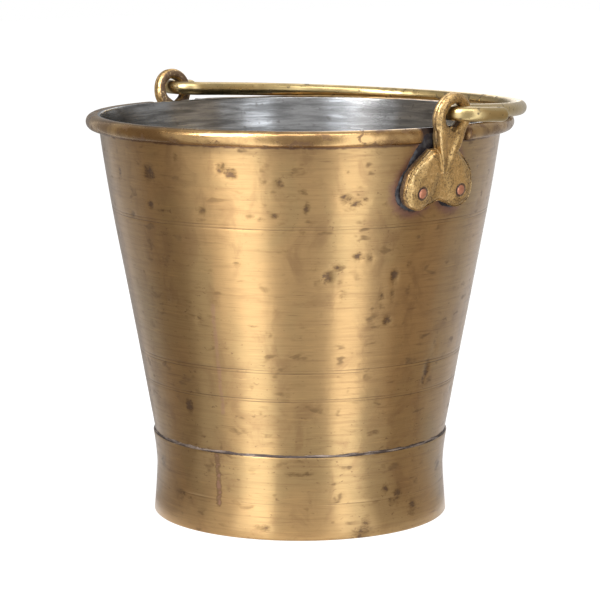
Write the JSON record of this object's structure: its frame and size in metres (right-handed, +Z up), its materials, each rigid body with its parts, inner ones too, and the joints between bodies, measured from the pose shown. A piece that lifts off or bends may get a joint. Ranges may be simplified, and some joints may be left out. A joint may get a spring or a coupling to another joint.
{
  "type": "tarnished brass bucket",
  "caption": "Conical tin-lined brass bucket on a soldered flared foot ring, with cast riveted ears and a loose round-rod bail lying back on the rim.",
  "frame": {"origin": "on the floor at the bucket's own axis, in the plane of the foot ring's lower edge", "axes": "+Z up along the bucket's axis; +X and -X towards the two ears; the bail lies back towards +Y at rest"},
  "size_m": [0.3406, 0.3171, 0.3053],
  "materials": {
    "shell_brass": "satin lathe-brushed brass with brown and olive tarnish, dull tin lining inside",
    "foot_brass": "satin brushed brass with tarnish",
    "cast_brass": "pitted cast brass, polished on its high places",
    "rod_brass": "smooth drawn brass rod, worn bright",
    "copper": "dull copper rivet heads",
    "solder": "rough grey soft solder"
  },
  "bodies": {
    "vessel": {"bucket_body": "shell_brass", "foot_ring": "foot_brass", "foot_solder": "solder", "ear_right": "cast_brass", "ear_left": "cast_brass", "ear_solder_right": "solder", "ear_solder_left": "solder", "rivet_right_front": "copper", "rivet_right_back": "copper", "rivet_left_front": "copper", "rivet_left_back": "copper"},
    "handle": {"bail": "rod_brass"}
  },
  "joints": [
    {"name": "bail_swing", "type": "hinge", "parent": "vessel", "child": "handle", "pos_m": [0, 0.0032, 0.2912], "axis": [1, 0, 0], "range_deg": [0, 185]}
  ]
}
